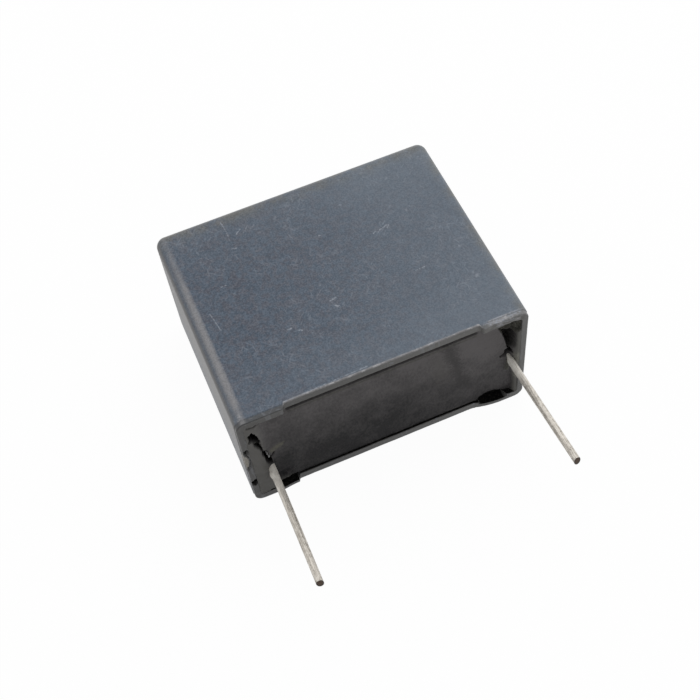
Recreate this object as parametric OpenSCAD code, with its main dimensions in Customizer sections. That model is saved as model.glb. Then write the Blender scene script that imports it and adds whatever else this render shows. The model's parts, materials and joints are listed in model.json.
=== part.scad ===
// Box film capacitor, radial leads, lying on one broad side.
// X runs along the row of leads, -Y is the way the leads point, +Z is up.
// The origin is the middle of the broad side that it lies on.
// "Depth" is measured from the seating plane of the feet, into the case.

/* [Case] */
// Length of the case along the row of leads
case_len = 31.5; // [20:0.5:45]
// Height of the case from the feet to the closed end
case_height = 25.7; // [18:0.1:40]
// Thickness of the case between its broad sides
case_thick = 15.9; // [15:0.1:24]
// Radius of the rounded edges and corners
edge_r = 1.1; // [0.6:0.1:1.6]
// Thickness of the two broad walls
broad_wall = 1.05; // [0.8:0.05:1.3]
// Thickness of the two narrow walls
narrow_wall = 0.75; // [0.5:0.05:0.8]
// Thickness of the closed end
end_wall = 1.1; // [0.8:0.1:1.8]
// Radius of the inner corners
inner_r = 0.4; // [0.2:0.05:0.6]

/* [Rim and feet] */
// Height of the stand-off feet
foot_height = 0.55; // [0.3:0.05:0.9]
// Length of each foot along the broad walls
foot_len = 5.35; // [4:0.05:7]
// Run of the bevel that ends each foot
foot_bevel = 0.4; // [0.2:0.1:1]
// Run of the one foot that is worn round
worn_bevel = 2.9; // [1.5:0.1:3.5]
// How far the faces of the rim stand in from the faces of the case
rim_inset = 0.08; // [0.04:0.01:0.15]

/* [Leads] */
// Distance from each end of the case to the middle of its lead
lead_inset = 2.1; // [1.9:0.1:5]
// Diameter of the lead wire
lead_d = 0.8; // [0.6:0.1:1]
// Length of the leads beyond the feet
lead_free = 13.2; // [5:0.1:30]
// Extra length of the left lead
lead_left_extra = 0.45; // [0:0.05:2]
// Outward lean of the left lead, in degrees
lean_left = 1; // [0:0.1:3]
// Outward lean of the right lead, in degrees
lean_right = 2.6; // [0:0.1:3]
// How far the left lead sits below the middle of the case
lead_left_drop = 2.85; // [0:0.05:2.9]
// How far the right lead sits below the middle of the case
lead_right_drop = 0.75; // [0:0.05:2.9]
// Slant of the cut at each tip, in degrees
cut_slant = 14; // [0:1:30]
// Distance from the start of the roll to where the wire is pressed flat
flat_start = 2.4; // [1.8:0.1:6]
// Length of the flat
flat_len = 8.5; // [5:0.5:10]
// Width of the flat
flat_width = 1.2; // [1.1:0.1:1.8]
// Thickness of the flat
flat_thick = 0.45; // [0.3:0.05:0.5]

/* [Element] */
// How far the element and its leads sit off centre, to the right
element_shift = 0.5; // [0:0.1:0.6]
// Depth at which the flattened roll starts
roll_depth = 3.2; // [3:0.1:6]
// Resin between the roll and each broad wall
roll_side_gap = 1.2; // [0.2:0.1:1.7]
// Resin between the roll and the closed end
roll_end_gap = 1; // [0.2:0.1:4]
// Thickness of the sprayed zinc at each end of the roll
spray_thick = 0.6; // [0.3:0.1:0.8]
// Strip of plain film that the zinc leaves bare round the roll
spray_margin = 0.25; // [0.1:0.05:0.6]
// Width of the collapsed core of the roll
core_width = 7; // [3:0.5:10]
// Gap left in the collapsed core
core_gap = 0.15; // [0.1:0.05:0.4]
// Width of the solder over each flat
solder_width = 4; // [3:0.1:4.4]
// Rise of the solder over the zinc
solder_rise = 0.7; // [0.6:0.05:0.8]

/* [Potting] */
// How far the resin stops short of the rim between the feet
resin_drop = 0.17; // [0.05:0.01:0.4]
// Depth of the air pockets below the resin surface
void_depth = 1.9; // [1:0.1:2]
// Reach of the upper right pocket along the broad wall
right_pocket_reach = 2.7; // [1.6:0.1:4]
// Length of the upper right pocket down the narrow wall
right_pocket_len = 5.5; // [4:0.1:6]
// Width of the ragged pocket above the left lead
left_pocket_width = 1.85; // [1.2:0.05:2.2]
// Height that the ragged pocket reaches above the left lead
left_pocket_len = 7.5; // [5:0.1:8.5]
// Depth of the shallow cracks below the resin surface
crack_depth = 0.8; // [0.4:0.1:1.2]
// Size of the crack beside the right lead
crack_size = 1.95; // [1:0.05:2.4]
// Size of the slit beside the left lead
slit_size = 2.5; // [1.2:0.1:3]
// Width of the pocket beside the worn foot
pit_width = 4; // [3:0.1:4.5]
// Reach of that pocket from the wall
pit_reach = 0.75; // [0.5:0.05:1]
// Width of the pocket beside the other lower foot
small_pit_width = 3; // [2:0.1:3.4]
// Reach of that pocket from the wall
small_pit_reach = 0.4; // [0.2:0.05:0.6]

/* [Rim damage] */
// Width of the chip in the rim of the left wall
chip_width = 2.6; // [1.5:0.1:3]
// Depth of that chip
chip_depth = 0.35; // [0.2:0.05:0.45]
// Width of the small nick below it
nick_width = 0.9; // [0.5:0.1:1.2]
// How far the chip sits above the middle of the case
chip_rise = 0.8; // [0:0.1:2]
// How far the nick sits below the middle of the case
nick_drop = 4.2; // [3:0.1:5]

/* [Hidden] */
$fn = 64;

seat_y = -case_height / 2;
mid_z = case_thick / 2;
lead_r = lead_d / 2;

// The room inside the case
room_len = case_len - 2 * narrow_wall;
room_thick = case_thick - 2 * broad_wall;
room_depth = case_height - end_wall;
inner_x = room_len / 2;
high_wall_z = case_thick - broad_wall;

// Where the wires stand. The buried run is a hair thinner and ends just inside the free run.
flat_depth = roll_depth + flat_start;
wire_in = flat_depth + lead_d;
hair = 0.01;
bend_lap = 0.02;
touch = 0.02;
function lead_x(side) = element_shift + side * (case_len / 2 - lead_inset);
function lean(side) = side < 0 ? lean_left : lean_right;
function lead_z(side) = mid_z - (side < 0 ? lead_left_drop : lead_right_drop);

// The zinc ends where the inner side of each wire passes
function zinc_face(side) = lead_x(side) - side * (lead_r + touch);
function film_face(side) = zinc_face(side) - side * spray_thick;

// The roll takes the room that its resin gaps leave
roll_thick = room_thick - 2 * roll_side_gap;
roll_height = case_height - end_wall - roll_depth - roll_end_gap;
roll_mid_depth = roll_depth + roll_height / 2;

foot_start = case_len / 2 - foot_len;
potting_depth = foot_height + resin_drop;

// How far a cutting shape runs past what it cuts: in the open, and inside the case
past = 1;
inside_past = 0.2;

// Moves what is drawn by depth to its place in the part
module from_seat() {
    translate([0, seat_y, 0]) children();
}

// Runs an outline drawn in X and Z from one depth to another
module along_depth(from, to) {
    translate([0, to, 0]) rotate([90, 0, 0]) linear_extrude(to - from) children();
}

// Runs an outline drawn by depth and Z from one X to another
module along_length(from, to) {
    translate([from, 0, 0]) rotate([90, 0, 90]) linear_extrude(to - from) children();
}

// Rectangle with round corners, centred on X, its lower side on zero
module round_rect(w, h, r) {
    translate([-w / 2, r]) square([w, h - 2 * r]);
    translate([-w / 2 + r, 0]) square([w - 2 * r, h]);
    for (x = [-w / 2 + r, w / 2 - r], y = [r, h - r]) translate([x, y]) circle(r);
}

// Outline of a slab whose far end has round corners
module round_end(depth, w, r) {
    square([depth - r, w]);
    translate([0, r]) square([depth, w - 2 * r]);
    for (y = [r, w - r]) translate([depth - r, y]) circle(r);
}

// One corner post with a round top, pointing into the case
module corner_post(depth, r) {
    rotate([-90, 0, 0]) rotate_extrude() {
        square([r, depth - r]);
        translate([0, depth - r]) intersection() {
            circle(r);
            square(r);
        }
    }
}

// Box with one open side at zero depth: every other edge and corner is round
module soft_box(len, thick, depth, r) {
    along_length(-len / 2 + r, len / 2 - r) round_end(depth, thick, r);
    translate([-len / 2, 0, r]) linear_extrude(thick - 2 * r)
        mirror([1, -1, 0]) round_end(depth, len, r);
    for (x = [-len / 2 + r, len / 2 - r], z = [r, thick - r])
        translate([x, 0, z]) corner_post(depth, r);
}

// The room inside the case, from a given depth to the closed end
module room(from) {
    translate([0, from, broad_wall]) soft_box(room_len, room_thick, room_depth - from, inner_r);
}

// Outline, by X and depth, of what is cut from one broad wall between its feet
module foot_cut(left_bevel, right_bevel) {
    polygon([
        [-foot_start - left_bevel, -past],
        [-foot_start - left_bevel, 0],
        [-foot_start, foot_height],
        [foot_start, foot_height],
        [foot_start + right_bevel, 0],
        [foot_start + right_bevel, -past]
    ]);
}

// The worn foot runs out in one long arc from the cut to its tip
module worn_cut() {
    arc_r = (pow(worn_bevel, 2) + pow(foot_height, 2)) / (2 * foot_height);
    difference() {
        translate([foot_start - past, -past]) square([worn_bevel + past, past + foot_height]);
        translate([foot_start + worn_bevel, arc_r]) circle(arc_r, $fn = 180);
    }
}

// Round nick across the left wall, as wide as given at the rim
module rim_nick(z, width, depth) {
    nick_r = (pow(width / 2, 2) + pow(depth, 2)) / (2 * depth);
    translate([-case_len / 2 - past, depth - nick_r, z])
        rotate([0, 90, 0]) cylinder(h = past + narrow_wall + inside_past, r = nick_r);
}

// Moulded box: thin walls, round outer edges, four feet and a rim that stands in a little
module case() {
    color("#3b3d42") from_seat() difference() {
        union() {
            translate([0, foot_height, 0])
                soft_box(case_len, case_thick, case_height - foot_height, edge_r);
            along_depth(0, foot_height + inside_past) translate([0, rim_inset])
                round_rect(case_len - 2 * rim_inset, case_thick - 2 * rim_inset, edge_r - rim_inset);
        }
        room(-past);
        translate([0, 0, mid_z]) linear_extrude(case_thick) foot_cut(foot_bevel, foot_bevel);
        translate([0, 0, -past]) linear_extrude(mid_z) foot_cut(foot_bevel, 0);
        translate([0, 0, -past]) linear_extrude(past + broad_wall + inside_past) worn_cut();
        rim_nick(mid_z + chip_rise, chip_width, chip_depth);
        rim_nick(mid_z - nick_drop, nick_width, chip_depth);
    }
}

// Race-track outline of the flattened roll, by depth and Z
module roll_outline(shrink) {
    r = roll_thick / 2 - shrink;
    run = roll_height / 2 - roll_thick / 2;
    translate([roll_mid_depth, mid_z]) {
        translate([-run, -r]) square([2 * run, 2 * r]);
        for (side = [-1, 1]) translate([side * run, 0]) circle(r, $fn = 96);
    }
}

// Roll of metallised film, pressed flat, with its collapsed core
module winding() {
    color("#b9b3a4") from_seat() along_length(film_face(-1), film_face(1)) difference() {
        roll_outline(0);
        translate([roll_mid_depth - core_width / 2, mid_z - core_gap / 2])
            square([core_width, core_gap]);
    }
}

// Zinc sprayed on one end of the roll. "Into" is how far it is drawn into what it seats on.
module end_spray(side, into = 0) {
    inner = film_face(side) - side * into;
    outer = zinc_face(side);
    color("#8d9095") from_seat()
        along_length(min(inner, outer), max(inner, outer)) roll_outline(spray_margin);
}

module end_spray_left() { end_spray(-1); }
module end_spray_right() { end_spray(1); }

// Tinned wire: pressed flat on the zinc, straight to the feet, then leaning outward
module lead(side, free, into = 0) {
    reach = free / cos(lean(side));
    flat_inner = zinc_face(side) - side * into;
    flat_outer = zinc_face(side) + side * flat_thick;
    color("#c9c4bb") from_seat() {
        translate([lead_x(side), -bend_lap, lead_z(side)]) rotate([-90, 0, 0])
            cylinder(h = bend_lap + wire_in, r = lead_r - hair);
        translate([lead_x(side), 0, lead_z(side)]) rotate([90, 0, side * lean(side)])
            difference() {
                translate([0, 0, -bend_lap]) cylinder(h = bend_lap + reach, r = lead_r);
                translate([0, 0, reach]) rotate([0, side * cut_slant, 0])
                    translate([-lead_d, -lead_d, 0]) cube([2 * lead_d, 2 * lead_d, lead_d]);
            }
        translate([min(flat_inner, flat_outer), flat_depth, lead_z(side) - flat_width / 2])
            cube([flat_thick + into, flat_len, flat_width]);
    }
}

module lead_left() { lead(-1, lead_free + lead_left_extra); }
module lead_right() { lead(1, lead_free); }

// Low dome of solder on the zinc
module solder_dome(side, into = 0) {
    dome_r = (pow(solder_width / 2, 2) + pow(solder_rise, 2)) / (2 * solder_rise);
    from_seat() translate([zinc_face(side), flat_depth + flat_len / 2, lead_z(side)])
        rotate([0, side * 90, 0]) rotate_extrude() {
            intersection() {
                translate([0, solder_rise - dome_r]) circle(dome_r, $fn = 180);
                square([solder_width, solder_rise + past]);
            }
            if (into > 0) translate([0, -into]) square([solder_width / 2, into]);
        }
}

// The solder lies over the flat of the wire
module solder_joint(side) {
    color("#a8abad") difference() {
        solder_dome(side);
        lead(side, lead_free);
    }
}

module solder_joint_left() { solder_joint(-1); }
module solder_joint_right() { solder_joint(1); }

// Sinks an outline, drawn in X and Z, into the resin surface
module sunk(depth) {
    along_depth(potting_depth - past, potting_depth + depth) children();
}

// Irregular outline: its corners are given as shares of a width and a height
module ragged(width, height, corners) {
    polygon([for (c = corners) [c[0] * width, c[1] * height]]);
}

// Air pocket in the upper right corner, running down to a point above the lead
module right_pocket() {
    sunk(void_depth) translate([inner_x, high_wall_z])
        ragged(right_pocket_reach, right_pocket_len, [
            [-1, 0], [0, 0], [0, -0.55], [-0.11, -0.58], [-0.13, -0.98], [-0.3, -1],
            [-0.52, -0.73], [-0.85, -0.29]
        ]);
}

// Small hole and crack beside the right lead
module right_crack() {
    sunk(crack_depth) translate([lead_x(1), lead_z(1)])
        ragged(crack_size, crack_size, [
            [-0.56, 0.38], [-0.26, 0.59], [-0.23, 0.92], [0.05, 1], [0.15, 0.67],
            [-0.05, 0.44], [-0.51, 0.28]
        ]);
}

// Ragged pocket above the left lead, which runs down to the wire
module left_pocket() {
    sunk(void_depth) translate([lead_x(-1), lead_z(-1)])
        ragged(left_pocket_width, left_pocket_len, [
            [-0.49, 1], [-0.3, 0.93], [-0.22, 0.77], [-0.16, 0.65], [-0.16, 0.49], [0.05, 0.44],
            [0.14, 0.31], [0.24, 0.16], [0.16, 0.07], [-0.19, 0.08], [-0.3, 0.25],
            [-0.35, 0.36], [-0.38, 0.51], [-0.54, 0.65], [-0.76, 0.77], [-0.76, 0.93]
        ]);
}

// Narrow slit beside the left lead
module left_slit() {
    sunk(crack_depth) translate([lead_x(-1), lead_z(-1)])
        ragged(slit_size, slit_size, [[0.2, 0.6], [0.26, 0.54], [0.44, 0.92], [0.38, 1]]);
}

// Crescent where the resin has drawn back from the lower wall beside a foot
module wall_pit(x, width, reach) {
    pit_r = (pow(width / 2, 2) + pow(reach, 2)) / (2 * reach);
    sunk(void_depth) intersection() {
        translate([x, broad_wall + reach - pit_r]) circle(pit_r);
        translate([x - width, broad_wall]) square([2 * width, 2 * reach]);
    }
}

// Epoxy that seals the open side and fills the room round the element
module potting() {
    color("#46464a") difference() {
        from_seat() room(potting_depth);
        from_seat() along_length(film_face(-1), film_face(1)) roll_outline(0);
        for (side = [-1, 1]) {
            end_spray(side, inside_past);
            solder_dome(side, inside_past);
            lead(side, lead_free, inside_past);
        }
        from_seat() {
            right_pocket();
            right_crack();
            left_pocket();
            left_slit();
            wall_pit(foot_start + pit_width / 2, pit_width, pit_reach);
            wall_pit(-foot_start - small_pit_width / 2, small_pit_width, small_pit_reach);
        }
    }
}

case();
potting();
winding();
end_spray_left();
end_spray_right();
solder_joint_left();
solder_joint_right();
lead_left();
lead_right();
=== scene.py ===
import json
import math

import bmesh
import bpy
import numpy as np
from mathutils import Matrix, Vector, noise


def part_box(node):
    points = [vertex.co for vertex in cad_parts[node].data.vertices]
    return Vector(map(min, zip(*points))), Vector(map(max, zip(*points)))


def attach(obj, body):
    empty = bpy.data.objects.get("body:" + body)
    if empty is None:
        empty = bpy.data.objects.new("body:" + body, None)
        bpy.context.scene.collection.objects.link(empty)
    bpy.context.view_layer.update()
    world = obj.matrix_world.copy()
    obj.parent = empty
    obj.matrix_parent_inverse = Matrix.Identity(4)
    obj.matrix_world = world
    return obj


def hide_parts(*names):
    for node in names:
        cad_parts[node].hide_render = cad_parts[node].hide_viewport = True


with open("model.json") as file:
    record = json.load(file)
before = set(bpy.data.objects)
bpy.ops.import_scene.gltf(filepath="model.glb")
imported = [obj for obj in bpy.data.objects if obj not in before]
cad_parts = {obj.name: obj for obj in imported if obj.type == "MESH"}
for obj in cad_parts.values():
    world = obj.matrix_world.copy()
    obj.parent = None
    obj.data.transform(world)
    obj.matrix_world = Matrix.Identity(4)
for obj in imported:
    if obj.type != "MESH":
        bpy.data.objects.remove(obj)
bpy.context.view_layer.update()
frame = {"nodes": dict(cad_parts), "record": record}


# --- Case -------------------------------------------------------------------
# The case is one thin-walled box, injection-moulded in a blue-grey plastic and open
# at the lead side. Four feet stand on its rim, and the rim is set in by a hair, so a
# fine crease runs round it. Handling has rubbed the edges pale and chipped one wall.
# Painted sheen lightens the side fillets and parts of the top wall, painted highlights
# line the crease and the rim's lip, and the inner walls and breaks are painted dark as shade.
case_low, case_high = (corner * 1000 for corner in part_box("case"))
room_low, room_high = (corner * 1000 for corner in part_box("potting"))
seat, closed_end = case_low.y, case_high.y
half_len, half_thick = case_high.x, (case_high.z - case_low.z) / 2
mid_z = (case_high.z + case_low.z) / 2
edge_r, inner_r, outer_round, inner_round = 1.1, 0.4, 0.09, 0.06
straight_x, straight_z, blend = 14.65, 6.85, 1.2
foot_height, foot_start, foot_bevel, worn_bevel = 0.55, half_len - 5.35, 0.4, 2.9
rim_inset, wall_sink, end_sink, end_wall = 0.08, 0.045, 0.03, 1.1
left_wall_x, skirt, bite_depth = -14.4, 1.6, 1.2
depth_of_end = closed_end - seat


def stations(*runs):
    """Places along a wall, from runs of (start, end, step)."""
    marks = []
    for start, end, step in runs:
        count = max(1, round((end - start) / step))
        marks += [start + (end - start) * i / count for i in range(count)]
    return marks + [runs[-1][1]]


def smooth(value, low, high):
    """Soft step from 0 at low to 1 at high."""
    t = np.clip((np.asarray(value, float) - low) / (high - low), 0, 1)
    return t * t * (3 - 2 * t)


def bell(value, middle, width):
    """Soft hump round one value."""
    return np.exp(-(((np.asarray(value, float) - middle) / width) ** 2))


def rough(x, z, size, seed=0.0):
    """Seeded noise between -1 and 1 over a surface, its bumps about as wide as size."""
    flat = zip(np.ravel(x), np.ravel(z))
    values = [noise.noise(Vector((u / size, v / size, seed))) for u, v in flat]
    return np.array(values).reshape(np.shape(x))


def depth_inside(x, z, corners):
    """How far places lie inside an outline; negative outside it."""
    nearest, odd = np.full(np.shape(x), 1e9), np.zeros(np.shape(x), bool)
    for (ax, az), (bx, bz) in zip(corners, corners[1:] + corners[:1]):
        ex, ez = bx - ax, bz - az
        t = np.clip(((x - ax) * ex + (z - az) * ez) / (ex * ex + ez * ez), 0, 1)
        nearest = np.minimum(nearest, np.hypot(x - ax - t * ex, z - az - t * ez))
        odd ^= ((az > z) != (bz > z)) & (x < ex * (z - az) / (ez or 1e-9) + ax)
    return np.where(odd, nearest, -nearest)


def near_line(x, z, points):
    """Distance from places to a line through points."""
    nearest = np.full(np.shape(x), 1e9)
    for (ax, az), (bx, bz) in zip(points, points[1:]):
        ex, ez = bx - ax, bz - az
        t = np.clip(((x - ax) * ex + (z - az) * ez) / (ex * ex + ez * ez), 0, 1)
        nearest = np.minimum(nearest, np.hypot(x - ax - t * ex, z - az - t * ez))
    return nearest


along = stations((-straight_x, -11.2, 0.2), (-11.2, -10.0, 0.07), (-10.0, 10.0, 0.3),
                 (10.0, 11.2, 0.07), (11.2, straight_x, 0.2))
up = stations((-straight_z, -4.9, 0.2), (-4.9, -3.4, 0.1), (-3.4, -1.6, 0.2),
              (-1.6, 3.2, 0.1), (3.2, straight_z, 0.2))


def wall_line(half_x, half_z, r, turn=8):
    """Outline of a wall by X and Z, from the upper left, with the direction it faces."""
    run_x, run_z = half_x - r, half_z - r

    def pull(v, outer, inner):
        """Draws the last stretch of a straight run in to meet its corner."""
        start = outer - blend
        far = max(0.0, abs(v) - start)
        return math.copysign(min(abs(v), start) + far * (inner - start) / blend, v)

    upper = [(pull(x, straight_x, run_x), run_z + r, 0, 1) for x in along]
    right = [(half_x, pull(z, straight_z, run_z), 1, 0) for z in reversed(up)]
    lower = [(x, -half_z, 0, -1) for x, _, _, _ in reversed(upper)]
    left = [(-half_x, z, -1, 0) for _, z, _, _ in reversed(right)]
    spots = []
    for straight, corner_x, corner_z, facing in (
            (upper, run_x, run_z, 90), (right, run_x, -run_z, 0),
            (lower, -run_x, -run_z, -90), (left, -run_x, run_z, -180)):
        spots += straight
        for i in range(1, turn):
            a = math.radians(facing - 90 * i / turn)
            spots.append((corner_x + r * math.cos(a), corner_z + r * math.sin(a),
                          math.cos(a), math.sin(a)))
    x, z, nx, nz = np.array(spots).T
    return x, z + mid_z, nx, nz


chip_patch = [(-15.8, 9.8), (-15.75, 7.5), (-15.5, 7.4), (-15.38, 7.95), (-15.27, 8.85),
              (-15.45, 9.6)]
chip_groove = [(-15.8, 10.3), (-15.58, 10.75), (-15.2, 10.85), (-15.12, 10.35),
               (-15.4, 10.0), (-15.16, 9.2), (-15.12, 8.4), (-15.3, 7.5), (-15.62, 7.06)]
chip_hollow = [(-15.62, 10.3), (-15.5, 10.75), (-15.2, 10.85), (-15.1, 10.35), (-15.42, 10.05)]
nick_hole = [(-15.62, 4.4), (-15.3, 4.55), (-14.98, 4.75), (-15.0, 3.7), (-15.3, 3.45),
             (-15.62, 3.75)]


def rim_depth(x, z):
    """Depth of the rim below the tips of the feet."""
    side = np.abs(x)
    bevel = foot_height * smooth(foot_start + foot_bevel - side, 0, foot_bevel)
    reach = np.clip(foot_start + worn_bevel - x, 0, worn_bevel + 0.5)
    worn = foot_height * (reach / (worn_bevel + 0.5)) ** 2
    eased = np.maximum(bevel, 0.17 * smooth(x, -12.8, -10.8))
    depth = np.where(x > 0, np.minimum(worn, foot_height), eased)
    depth = np.where(z < mid_z, depth, bevel)
    depth = np.where(np.abs(z - mid_z) < 6.2, 0, depth)
    battered = smooth(x, 10.9, 12.0) * smooth(15.3 - x, 0, 0.5) * smooth(z, 14.5, 14.8)
    lumps = 0.06 + 0.12 * rough(x, z, 0.75, 12.1) + 0.07 * rough(x, z, 0.3, 17.3)
    depth = np.where(depth < 0.5, depth + battered * np.maximum(lumps, 0), depth)
    chewed = smooth(9.9 - np.abs(x), 0, 0.3) * smooth(z, 15.4, 15.85)
    depth = depth + 0.05 * chewed * np.maximum(rough(x, z, 0.6, 21.7), 0)
    depth = depth + 0.012 * rough(x, z, 0.5, 3.1) + 0.02 * rough(x, z, 2.3, 8.4)
    hurt = (0.16 * smooth(depth_inside(x, z, chip_patch), -0.12, 0.1)
            + 0.2 * bell(near_line(x, z, chip_groove), 0, 0.1)
            + 0.3 * smooth(depth_inside(x, z, chip_hollow), -0.05, 0.1)
            + 0.85 * smooth(depth_inside(x, z, nick_hole), -0.04, 0.12))
    hurt = hurt * (1 + 0.3 * rough(x, z, 0.22, 5.5))
    return np.clip(depth + np.where(x < left_wall_x, hurt, 0), 0.0, bite_depth)


def bitten(x, z, share):
    """How far the inner part of the lower rim has broken away beside the two low pits."""
    left = smooth(x, -12.75, -12.4) * smooth(-10.4 - x, 0, 0.35) * smooth(share, 0.56, 0.7)
    right = smooth(x, 10.5, 10.9) * smooth(13.9 - x, 0, 0.6) * smooth(share, 0.66, 0.8)
    return np.maximum(left, right) * (z < 1.2)


def inset_at(depth):
    return rim_inset * (1 - smooth(depth, 0.49, 0.55))


ox, oz, nx, nz = wall_line(half_len, half_thick, edge_r)
ix, iz, mx, mz = wall_line(room_high.x, (room_high.z - room_low.z) / 2, inner_r)
rim = rim_depth(ox, oz)
sink = np.where(np.abs(nz) > 0.99, wall_sink * (1 - (ox / straight_x) ** 2), 0)
end_bow = end_sink * (1 - ((oz - mid_z) / straight_z) ** 2)
sink = sink + np.where(np.abs(nx) > 0.99, end_bow, 0)
rings, case_layers = [], {"rubbed_and_sheen": [], "bare": [], "hollow": [], "dulled": []}


def case_ring(x, depth, z, worn=0.0, deep=0.0, dull=0.0):
    """Adds one ring of the case: its places, and how rubbed (with painted sheen and
    highlights), deep (painted dark as shade) and dulled they are.
    """
    depth = np.broadcast_to(depth, x.shape)
    rings.append(np.stack([x, seat + depth, z], 1))
    bare = smooth(depth_inside(x, z, chip_patch), -0.06, 0.06) * (x < left_wall_x)
    for made, values in zip(case_layers.values(), (worn, bare * (depth < 0.9), deep, dull)):
        made.append(np.clip(np.broadcast_to(values, x.shape), 0, 1))


def outer_ring(depth, inward, worn=0.0):
    """A ring of the outer skin, its distance in from the full size of the case given."""
    case_ring(ox - nx * inward, depth, oz - nz * inward, worn)


# Painted sheen: a pale band on the side fillets where light catches them, near the top on the
# left fillet and at the grazing turn on the right, carried with the edge wear.
tilt = np.degrees(np.arctan2(np.abs(nx), nz))
near_side = smooth(np.abs(ox), 14.2, 14.62)
fillet_sheen = np.where(ox < 0, bell(tilt, 9, 22) + 0.14 * bell(tilt, 40, 22),
                0.55 * bell(tilt, 72, 20))
fillet_rub_and_sheen = np.where(np.abs(nx) > 0.999, 0, fillet_sheen) * near_side
fillet_rub_and_sheen = fillet_rub_and_sheen + 0.35 * bell(tilt, 168, 22) * near_side
for i in range(8):
    a = math.radians(90 - 90 * i / 8)
    outer_ring(depth_of_end - edge_r + edge_r * math.sin(a), edge_r * (1 - math.cos(a)),
               np.maximum(0.45 * math.sin(2 * a) ** 2, 0.45 * fillet_rub_and_sheen * math.cos(a)))
for depth in np.linspace(depth_of_end - edge_r, skirt, 23)[:-1]:
    bow = math.sin(math.pi * min(1, depth / (depth_of_end - edge_r))) ** 0.7
    toward_rim = 0.5 + 0.5 * float(smooth(depth_of_end - depth, 1.0, 13.0))
    outer_ring(depth, sink * bow, toward_rim * fillet_rub_and_sheen)
on_foot = 1 - smooth(rim, 0.1, 0.45)
lip_top = rim + outer_round
for depth in (skirt, 1.2, 0.9, 0.75, 0.66, 0.6, 0.565, 0.545, 0.53, 0.515, 0.5, 0.485, 0.42,
              0.33, 0.22, 0.15):
    level = lip_top + (skirt - rim - outer_round) * (depth - 0.15) / 1.45
    level = np.where(rim < 0.3, np.maximum(level, lip_top), level)
    # The crease across the feet and the rim's outer lip get a painted highlight through the
    # rubbed weight; the scuffs by the upper right foot are real wear.
    crease = bell(level, 0.545, 0.035) * on_foot
    lip = bell(level, rim + 0.05, 0.16) * (1 - on_foot)
    scuffed = smooth(0.8 - level, 0, 0.2) * (nz > 0.3)
    scuffed = scuffed * (0.55 * smooth(ox, 10.6, 11.6) + 0.35 * bell(ox, 12.5, 0.9))
    case_ring(ox - nx * inset_at(level), level, oz - nz * inset_at(level),
              np.maximum(0.3 * crease + lip + 0.7 * fillet_rub_and_sheen, scuffed),
              dull=0.8 * smooth(0.5 - level, 0, 0.05))
wall = np.hypot(ox - ix, oz - iz)


def rim_point(share):
    return ox + (ix - ox) * share, oz + (iz - oz) * share


battered_foot = smooth(ox, 11.2, 12.2) * smooth(15.2 - ox, 0, 0.4) * (nz > 0.3)
# The rounded outer edge of the rim is rubbed pale, partly as a painted highlight along it.
for a in (30, 60, 90):
    turn = math.radians(a)
    step_in = inset_at(rim + 0.05) + outer_round * (1 - math.cos(turn))
    x, z = rim_point(step_in / wall)
    case_ring(x, rim_depth(x, z) + outer_round * (1 - math.sin(turn)), z,
              np.where(nz > 0.3, 0.85 - 0.75 * on_foot * (ox < 0) - 0.2 * on_foot, 0.25),
              0.25 * on_foot * (ox < 0) * (nz > 0.3), 0.9)
first = (inset_at(rim + 0.05) + outer_round) / wall
last = 1 - inner_round / wall
rim_steps = 9
for i in range(1, rim_steps):
    x, z = rim_point(first + (last - first) * i / rim_steps)
    smear = 0.8 * battered_foot * (0.5 + rough(x, z, 0.6, 31.2))
    bite = bitten(x, z, i / rim_steps)
    hurt = smooth(rim_depth(x, z) - rim, 0.08, 0.3) * (ox < left_wall_x)
    case_ring(x, rim_depth(x, z) + bite_depth * bite, z,
              np.maximum(0.3 * (1 - i / rim_steps) * (nz > 0.3), smear) * (1 - bite),
              np.maximum(hurt, bitten(x, z, i / rim_steps + 0.15)), 1.0)
bite = bitten(ix, iz, 1)
# The inner edge of the rim and the inner walls are painted dark through the deep layer, as
# painted shade.
for a in (90, 45, 0):
    turn = math.radians(a)
    x, z = rim_point(1 - inner_round * math.sin(turn) / wall)
    case_ring(x, rim_depth(x, z) + bite_depth * bite + inner_round * (1 - math.sin(turn)),
              z, 0.1, np.maximum(bite, 0.8 * (1 - math.sin(turn)) * (np.abs(nx) < 0.3)), 1.0)
for depth in (0.9, 1.3, 1.8, 2.4, 3.2, 12.0, depth_of_end - end_wall - inner_r):
    broken_to = rim_depth(ix, iz) + bite_depth * bite
    case_ring(ix, np.maximum(depth, broken_to + 0.1), iz, deep=1.0)
for a in (30, 60, 90):
    turn = math.radians(a)
    inward = inner_r * (1 - math.cos(turn))
    case_ring(ix - mx * inward, depth_of_end - end_wall - inner_r * (1 - math.sin(turn)),
              iz - mz * inward)


def ring_faces(rows, count):
    """Faces between closed rings of places, each ring with the same count."""
    return [(j * count + k, j * count + (k + 1) % count,
             (j + 1) * count + (k + 1) % count, (j + 1) * count + k)
            for j in range(rows - 1) for k in range(count)]


def add_object(name, data):
    """Puts a new object in the scene."""
    thing = bpy.data.objects.new(name, data)
    bpy.context.scene.collection.objects.link(thing)
    return thing


def smooth_over(bm, sharp):
    """Turns the faces outward and leaves only edges that turn by more than sharp degrees."""
    bmesh.ops.recalc_face_normals(bm, faces=bm.faces)
    for face in bm.faces:
        face.smooth = True
    for edge in bm.edges:
        edge.smooth = edge.calc_face_angle(0.0) < math.radians(sharp)


def close_mesh(name, verts, faces, layers, sharp=40):
    """Makes a piece from places in millimetres, with smooth faces and its painted layers."""
    mesh = bpy.data.meshes.new(name)
    mesh.from_pydata([tuple(c / 1000 for c in v) for v in verts], [], faces)
    for layer, values in layers.items():
        mesh.attributes.new(layer, "FLOAT", "POINT").data.foreach_set("value", values)
    bm = bmesh.new()
    bm.from_mesh(mesh)
    bmesh.ops.remove_doubles(bm, verts=bm.verts, dist=2e-7)
    smooth_over(bm, sharp)
    bm.to_mesh(mesh)
    bm.free()
    return add_object(name, mesh)


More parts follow.
